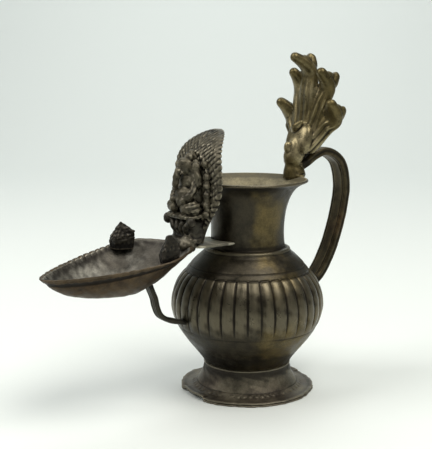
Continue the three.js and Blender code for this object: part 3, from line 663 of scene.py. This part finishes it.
def ornament(side):
    """A leaning pyramid: four-cornered rings stacked from foot to peak with rounded edges, scaled by
    crossed waves."""
    x0, y0 = -69.6, 25.6
    rings = np.array([
        [(-6.4, 5, 87.5), (-5.1, -1.5, 87.5), (5.4, -4.5, 87.5), (5.6, 2.5, 87.5)],
        [(-7.3, 5, 92.6), (-5.9, -1.5, 92.6), (6.2, -4.4, 92.6), (6.4, 2.5, 92.6)],
        [(-7.0, 4.6, 94.0), (-5.5, -1.3, 94.0), (6.4, -4.2, 94.0), (6.6, 2.2, 94.0)],
        [(-4.6, 3.6, 97.5), (-4.0, -0.4, 97.5), (6.2, -3.2, 97.8), (6.4, 0.6, 97.8)],
        [(-2.4, 2.6, 100.8), (-2.0, 0.4, 100.8), (2.8, -0.9, 100.9), (3.0, 0.8, 100.9)],
        [(-0.7, 1.5, 103.0), (-0.6, 1.0, 103.0), (-0.3, 0.9, 103.0), (-0.3, 1.3, 103.0)],
    ])
    k = np.linspace(0, len(rings) - 1.001, 64)
    i, f = k.astype(int), (k % 1)[:, None, None]
    corner = rings[i] * (1 - f) + rings[np.minimum(i + 1, len(rings) - 1)] * f
    u = np.arange(88) / 22.0
    j, g = u.astype(int), (u % 1)[None, :, None]
    edge = corner[:, j] * (1 - g) + corner[:, (j + 1) % 4] * g
    middle = corner.mean(1, keepdims=True)
    pinch = 1 - 0.1 * dent(np.minimum(u % 1, 1 - u % 1), 0, 0.07)
    tall = edge[..., 2]
    tier = tall / 2.1
    columns = np.abs(np.sin(np.pi * (3 * u[None] + 0.5 * np.floor(tier))))
    scales = 0.10 * np.abs(np.sin(np.pi * tier)) * columns
    grown = (pinch[None] * (0.94 + (0.65 + 0.35 * side) * scales * ease(93.5, 94.5, tall)))[..., None]
    p = middle + (edge - middle) * np.concatenate([grown, grown, 1 + 0 * grown], -1)
    return skin((p + [x0, y0, 0]) * [1, side, 1])


ornament_finish = bronze(
    "dark_ornament_bronze", ground=(0.022, 0.019, 0.013), bloom=(0.042, 0.034, 0.028),
    hollow=(0.005, 0.004, 0.003), rub=(0.15, 0.13, 0.10),
    shares=(0.40, 0.9, 0.6), roughness=0.46, metallic=0.55, pits=0.4)
blocks = weather(new_mesh("dish_ornaments", [ornament(-1), ornament(1)]), amount=0.3, size=3.4, seed=6)
place("dish_ornaments", blocks, ornament_finish, "dish_bronze", "lamp_dish", rounds=12)

# The flame plaque: a leaf-shaped aureole, cast in bronze with its flames in low relief. It stands on
# the rear of the dish and leans back towards the mouth of the ewer.


def plaque_out(z):
    """How far the plaque's middle stands from the ewer's axis: nearly upright, then curling back."""
    return 38 - 1.6 * ease(96, 138, z) - 16 * np.clip((z - 134) / 22, 0, None) ** 2.6


def plaque_half(z):
    """Half the plaque's width: growing from the pedestal, then closing in a leaf's tip."""
    close = np.sqrt(np.clip(1 - np.clip((z - 126) / 30, 0, None) ** 2.6, 0, 1))
    return (9.5 + 14.1 * ease(88, 124, z)) * close


def barb(y, z):
    """The phase of the flames: lines that rise outwards from the arch, steeper towards the tip."""
    return 2 * np.pi * (z - 0.3 * y - 0.014 * np.maximum(z - 116, 0) * y) / 2.7


def aureole_grid():
    """A leaf-shaped sheet with front and back: flames rise over its border as fine ridges, each ending
    in a tooth of the edge, and an arch rib divides them from the curling ground behind the figure."""
    z = (92.5 + 63.3 * np.linspace(0, 1, 190) ** 0.95)[:, None]
    s = np.sin(np.linspace(-1, 1, 131) * np.pi / 2 * 0.985)[None] / np.sin(np.pi / 2 * 0.985)
    half = plaque_half(z)
    tooth = np.abs(np.sin(barb(half, z) / 2)) ** 0.8
    y = s * (half - 0.6 + 1.1 * tooth * ease(104, 112, z) * np.abs(s) ** 6)
    up = z - 124
    reach = np.hypot(y / 23.6, up / np.where(up > 0, 31.0, 34.0))
    border = ease(0.60, 0.68, reach) * ease(106, 114, z)
    flames = np.abs(np.sin(barb(np.abs(y), z) / 2)) ** 0.8
    curls = np.sin(1.25 * y + 1.3 * np.sin(0.45 * z)) * np.sin(1.1 * z + 1.2 * np.sin(0.6 * y))
    rough = wobble(0.7 * y + 0.31 * z, (1, 1.9, 3.1), 41) * wobble(0.6 * z - 0.4 * y, (1, 2.3, 3.7), 42)
    arch = 0.9 * dent(reach, 0.63, 0.035) * ease(106, 112, z)
    relief = border * (0.4 * flames - 0.27) + (1 - border) * (0.7 * curls - 0.5) + arch + rough
    edge = np.clip((1 - np.abs(s)) * half / 2.2, 0, 1) ** 0.6 + 0 * z
    middle = -(plaque_out(z) - 0.004 * y * y)
    front = middle - (1.5 + relief) * (0.18 + 0.82 * edge)
    back = middle + (1.5 + 0.25 * wobble(0.35 * y + 0.3 * z, (1, 2.1, 3.3), 40)) * (0.18 + 0.82 * edge)
    level = z + 0 * y
    face = np.stack([front, y, level], -1)
    rear = np.stack([back, y, level], -1)[:, ::-1]
    return np.concatenate([face, rear], 1)


plaque_finish = bronze(
    "olive_grey_plaque_bronze", ground=(0.076, 0.066, 0.043), bloom=(0.160, 0.140, 0.098),
    hollow=(0.006, 0.005, 0.003), rub=(0.36, 0.325, 0.24),
    shares=(0.40, 0.97, 0.55), roughness=0.42, metallic=0.5, pits=0.45)
aureole = new_mesh("flame_plaque", [skin(aureole_grid())])
place("flame_plaque", aureole, plaque_finish, "plaque_bronze", "ganesha_plaque", rounds=16)

# The seated figure: elephant-headed, in high relief, cast in bronze with the plaque and worn soft. It sits
# on a ledge between two beaded pillars, its trunk turned to one side.


def figure_parts():
    """Ledge; belly, chest, head, ears, trunk, tusks, crown, four arms and crossed legs; a beaded pillar
    each side."""
    parts = [
        ball((-42.6, 0, 108.4), (7.0, 13.6, 1.5), -0.12, 4),
        ball((-38.2, 0, 121), (5.2, 9.6, 17.5), -0.06, 2.4),
        ball((-42.2, 0, 118.4), (6.6, 6.8, 7.4)),
        ball((-41.0, 0, 127.2), (5.2, 6.4, 5.2)),
        ball((-42.6, 0, 135.2), (5.2, 4.6, 5.2)),
        ball((-44.4, 0, 138.0), (3.2, 3.6, 2.4)),
        limb([(-39.8, 0, 137.6), (-39.4, 0, 141), (-38.4, 0, 145.0)], [4.4, 3.3, 1.0], 40, 40, 0.1, 6),
        limb([(-46.2, 0, 135), (-48.8, 0.3, 129.8), (-48.9, 1.4, 125.2), (-47.8, 4.4, 122.4)],
             [2.7, 2.1, 1.8, 1.2], 36, 60, 0.07, 7),
    ]
    for side in (-1, 1):
        parts += [
            ball((-40.2, 6.2 * side, 135.2), (1.6, 3.4, 4.6)),
            limb([(-46.2, 2.2 * side, 132.6), (-48.4, 3.2 * side, 131.2)], [1.1, 0.5], 16, 16),
            limb([(-39.6, 6.2 * side, 129), (-40.6, 9.8 * side, 126.4), (-41.6, 10.4 * side, 130.4),
                  (-41.6, 9.2 * side, 134.6)], [2.4, 2.0, 1.7, 1.9], 36, 50, 0.12, 5),
            ball((-41.9, 9.0 * side, 135.8), (2.2, 2.0, 2.7)),
            limb([(-40.6, 6.8 * side, 127), (-44.2, 9.0 * side, 121.4), (-47.8, 6.0 * side, 117.4)],
                 [2.3, 2.0, 1.7], 36, 44, 0.14, 5),
            ball((-48.0, 5.4 * side, 117.0), (1.9, 2.1, 2.0)),
            limb([(-40.6, 3 * side, 113.2), (-44.2, 10.8 * side, 113.0), (-48.2, 3.0 * side, 111.8)],
                 [3.6, 3.5, 2.3], 44, 60, 0.12, 7),
            limb([(-38.4, 14.6 * side, 107), (-38.6, 15.6 * side, 118), (-38.2, 15.2 * side, 129)],
                 [1.3, 1.4, 1.2], 24, 40),
            ball((-39.2, 14.8 * side, 110), (2.0, 2.2, 1.7)),
            ball((-39.2, 15.4 * side, 115), (1.9, 2.2, 1.9)),
            ball((-39.2, 15.6 * side, 120.4), (1.9, 2.0, 1.8)),
            ball((-39.0, 15.4 * side, 125.6), (1.9, 2.2, 1.7)),
            ball((-38.6, 14.8 * side, 130.6), (1.8, 2.3, 2.2)),
            ball((-37.8, 12.0 * side, 137.2), (1.6, 2.2, 2.2)),
        ]
    return parts


figure = fuse("seated_figure", figure_parts(), voxel=0.34, rounds=3)
figure = weather(figure, amount=0.3, size=3.6, seed=8)
place("seated_figure", figure, plaque_finish, "plaque_bronze", "ganesha_plaque", rounds=14)

# The pedestal: the bronze block below the ledge, cast with the plaque and painted darker than it as the shade
# under the ledge, with leaf drops on its front.
# Its thick base runs down onto the ramp of the dish, where it is joined and rubbed pale.


def pedestal_parts():
    """A block with leaf drops on its front, on a thick base that runs down onto the ramp of the dish."""
    parts = [
        ball((-41.0, 0, 99.6), (5.4, 11.4, 8.2), 0.0, 4),
        ball((-42.6, 0, 94.6), (5.2, 12.2, 2.4), 0.0, 3),
        ball((-46.6, 0, 92.2), (5.4, 12.4, 3.6), 0.35, 3),
        ball((-46.4, -7.5, 94.6), (3.6, 4.4, 3.4), 0.3),
    ]
    for side in (-1, 1):
        parts += [
            ball((-47.2, 12.4 * side, 105.4), (2.6, 2.7, 3.2)),
            limb([(-45.6, 9.6 * side, 105.6), (-47.0, 6.4 * side, 101.4), (-45.0, 5.2 * side, 97.0)],
                 [1.7, 1.9, 0.9], 24, 30),
            limb([(-45.8, 3.4 * side, 105.8), (-47.0, 1.8 * side, 101.0), (-45.2, 1.4 * side, 97.6)],
                 [1.6, 1.7, 0.9], 24, 30),
        ]
    return parts


# The pedestal's dark ground is painted shade, for the shadow that the ledge above casts on it.
pedestal_shade_finish = bronze(
    "pedestal_bronze_painted_shade", ground=(0.034, 0.030, 0.021), bloom=(0.17, 0.15, 0.108),
    hollow=(0.005, 0.004, 0.003), rub=(0.22, 0.195, 0.14),
    shares=(0.32, 0.9, 0.4), roughness=0.44, metallic=0.5, pits=0.4)
pedestal = fuse("plaque_pedestal", pedestal_parts(), voxel=0.38, rounds=4)
pedestal = weather(pedestal, amount=0.25, size=4.0, seed=9)
mark_spots(pedestal, (-47, -8, 93, 6, 1))
place("plaque_pedestal", pedestal, pedestal_shade_finish, "plaque_bronze", "ganesha_plaque", rounds=14)

# The bracket: a flat cast tongue of pale worn bronze under the pedestal. Its end is hollowed to hug the
# ewer's neck and soldered there.


def bracket_grid():
    """A thin rounded bar section carried from the neck outwards; the first row follows the neck's round
    and the last a blunt end, and the thickness closes to nothing at both."""
    u = np.concatenate([[0, 0.015, 0.04], np.linspace(0.08, 0.92, 22), [0.96, 0.985, 1.0]])[:, None]
    flat = bar_section(1.8, 2.0, 96, 6)[None]
    across, tall = flat[..., 1], flat[..., 0]
    y = across * (12.7 + 0.9 * u - 1.6 * ease(0.8, 1, u))
    inner = -np.sqrt(21.95**2 - y**2)
    outer = -42.5 + 1.6 * np.abs(across) ** 6
    x = inner + (outer - inner) * u
    closing = np.sqrt(np.clip(1 - np.clip((np.abs(2 * u - 1) - 0.92) / 0.08, 0, 1) ** 2, 0.0004, 1))
    dip = -0.25 * (1 - across**2) + 0.12 * wobble(0.5 * x + 0.4 * y, (1, 2.3), 3)
    return np.stack([x, y, 91.1 + tall * closing + dip], -1)


bracket_finish = bronze(
    "pale_worn_bracket_bronze", ground=(0.36, 0.34, 0.26), bloom=(0.45, 0.42, 0.32),
    hollow=(0.020, 0.017, 0.012), rub=(0.5, 0.46, 0.36),
    shares=(0.5, 0.6, 0.4), roughness=0.5, metallic=0.2, pits=0.3)
tongue = new_mesh("neck_bracket_plate", [skin(bracket_grid())])
place("neck_bracket_plate", tongue, bracket_finish, "plaque_bronze", "neck_bracket")

# The strut: a bent bronze strap under the dish, ribbed lengthwise, that carries it on the belly. Its lower
# end is beaten flat and soldered on.


def strut_grid():
    """A flat bar carried along the bend, ribbed on its faces, with a wide thin tongue at the belly."""
    path = spline([(-68.2, 0, 72.6), (-66.3, 0, 67.6), (-64.3, 0, 62.8), (-63, 0, 57.4), (-60.8, 0, 52.7),
                   (-55.6, 0, 49.2), (-50, 0, 47.4), (-44.4, 0, 46.0)], 120)
    flat = bar_section(3.0, 7.2, 96, 4)[None]
    u, v = flat[..., 0], flat[..., 1]
    along = np.linspace(0, 1, len(path))[:, None]
    tongue = ease(0.78, 0.97, along)
    ribs = 1 - 0.22 * (0.5 - 0.5 * np.cos(2 * np.pi * v / 2.3)) * (1 - tongue)
    ends = np.clip(np.minimum(along, 1 - along) / 0.01, 0.05, 1) ** 0.5
    breadth = (1 + 0.22 * tongue) * (1 + 0.03 * wobble(20 * along, (1, 2.7), 2))
    section = np.stack([u * ribs * (1 - 0.3 * tongue) * ends, v * breadth * ends], -1)
    return sweep(path, np.array([0.0, 1.0, 0.0]), section)


strut_finish = bronze(
    "dark_strut_bronze", ground=(0.030, 0.027, 0.018), bloom=(0.052, 0.046, 0.030),
    hollow=(0.006, 0.005, 0.004), rub=(0.15, 0.135, 0.095),
    shares=(0.42, 0.8, 0.35), roughness=0.42, metallic=0.66, pits=0.3)
strut = new_mesh("dish_strut_bar", [skin(strut_grid())])
place("dish_strut_bar", strut, strut_finish, "hood_bronze", "dish_strut")

# The studio: a pale paper sweep that rises behind the lamp, a warm soft light above in front, a second
# from the left, one on the paper behind, and the camera at the height and distance of the photograph.
VIEW_TURN = 35.7


def sweep_sheet():
    """A floor that curls up into a wall: flat, a quarter round, then upright, turned to the camera."""
    bend = np.linspace(0.1, np.pi / 2, 16)
    run = np.concatenate([np.linspace(-7, 1.2, 12), 1.2 + np.sin(bend), np.full(4, 2.2)])
    rise = np.concatenate([np.zeros(12), 1.0 - np.cos(bend), np.linspace(1.2, 3.6, 4)])
    side = np.linspace(-8, 8, 12)
    a = np.radians(VIEW_TURN)
    ahead, right = np.array([np.sin(a), np.cos(a), 0]), np.array([np.cos(a), -np.sin(a), 0])
    return run[:, None, None] * ahead + side[None, :, None] * right + rise[:, None, None] * [0, 0, 1]


paper = sweep_sheet()
rows, cols = paper.shape[:2]
at = np.arange(rows * cols).reshape(rows, cols)
faces = np.stack([at[:-1, :-1], at[1:, :-1], at[1:, 1:], at[:-1, 1:]], -1).reshape(-1, 4)[:, ::-1]
sheet = bpy.data.meshes.new("studio_paper")
sheet.from_pydata(paper.reshape(-1, 3).tolist(), [], faces.tolist())
sheet.shade_smooth()
paper_finish = bpy.data.materials.new("pale_studio_paper")
paper_finish.use_nodes = True
paper_shader = paper_finish.node_tree.nodes["Principled BSDF"]
paper_shader.inputs["Base Color"].default_value = (0.78, 0.82, 0.80, 1)
paper_shader.inputs["Roughness"].default_value = 0.9
sheet.materials.append(paper_finish)
floor = bpy.data.objects.new("studio_paper", sheet)
bpy.context.scene.collection.objects.link(floor)

camera_data = bpy.data.cameras.new("camera")
camera_data.sensor_fit, camera_data.sensor_width, camera_data.lens = "HORIZONTAL", 36, 80.01
camera = bpy.data.objects.new("camera", camera_data)
bpy.context.scene.collection.objects.link(camera)
bpy.context.scene.camera = camera
camera.location = (-0.29838, -0.45476, 0.18839)
camera.rotation_mode = "QUATERNION"
camera.rotation_quaternion = Vector((0.54926, 0.82055, -0.15811)).to_track_quat("-Z", "Y")


def soft_light(name, place_at, aim, size, power, colour):
    """A square lamp of the given size in metres, turned to face the aim."""
    data = bpy.data.lights.new(name, "AREA")
    data.size, data.energy, data.color = size, power, colour
    lamp = bpy.data.objects.new(name, data)
    lamp.location = place_at
    lamp.rotation_mode = "QUATERNION"
    lamp.rotation_quaternion = (Vector(aim) - Vector(place_at)).to_track_quat("-Z", "Y")
    bpy.context.scene.collection.objects.link(lamp)


soft_light("soft_key", (0.15, -0.55, 1.18), aim=(0, 0, 0.08), size=0.8, power=12.5, colour=(1.0, 0.965, 0.90))
soft_light("soft_left", (-0.78, 0.32, 0.98), aim=(0, 0, 0.1), size=0.7, power=9, colour=(1.0, 0.98, 0.95))
soft_light("wall_light", (0.75, 1.05, 1.7), aim=(1.1, 1.6, 0.2), size=1.2, power=15, colour=(0.98, 1.0, 0.99))
world = bpy.data.worlds.new("studio_air")
world.use_nodes = True
world.node_tree.nodes["Background"].inputs["Color"].default_value = (0.93, 0.97, 0.95, 1)
world.node_tree.nodes["Background"].inputs["Strength"].default_value = 0.22
bpy.context.scene.world = world
bpy.context.scene.view_settings.view_transform = "Standard"

bpy.context.view_layer.update()
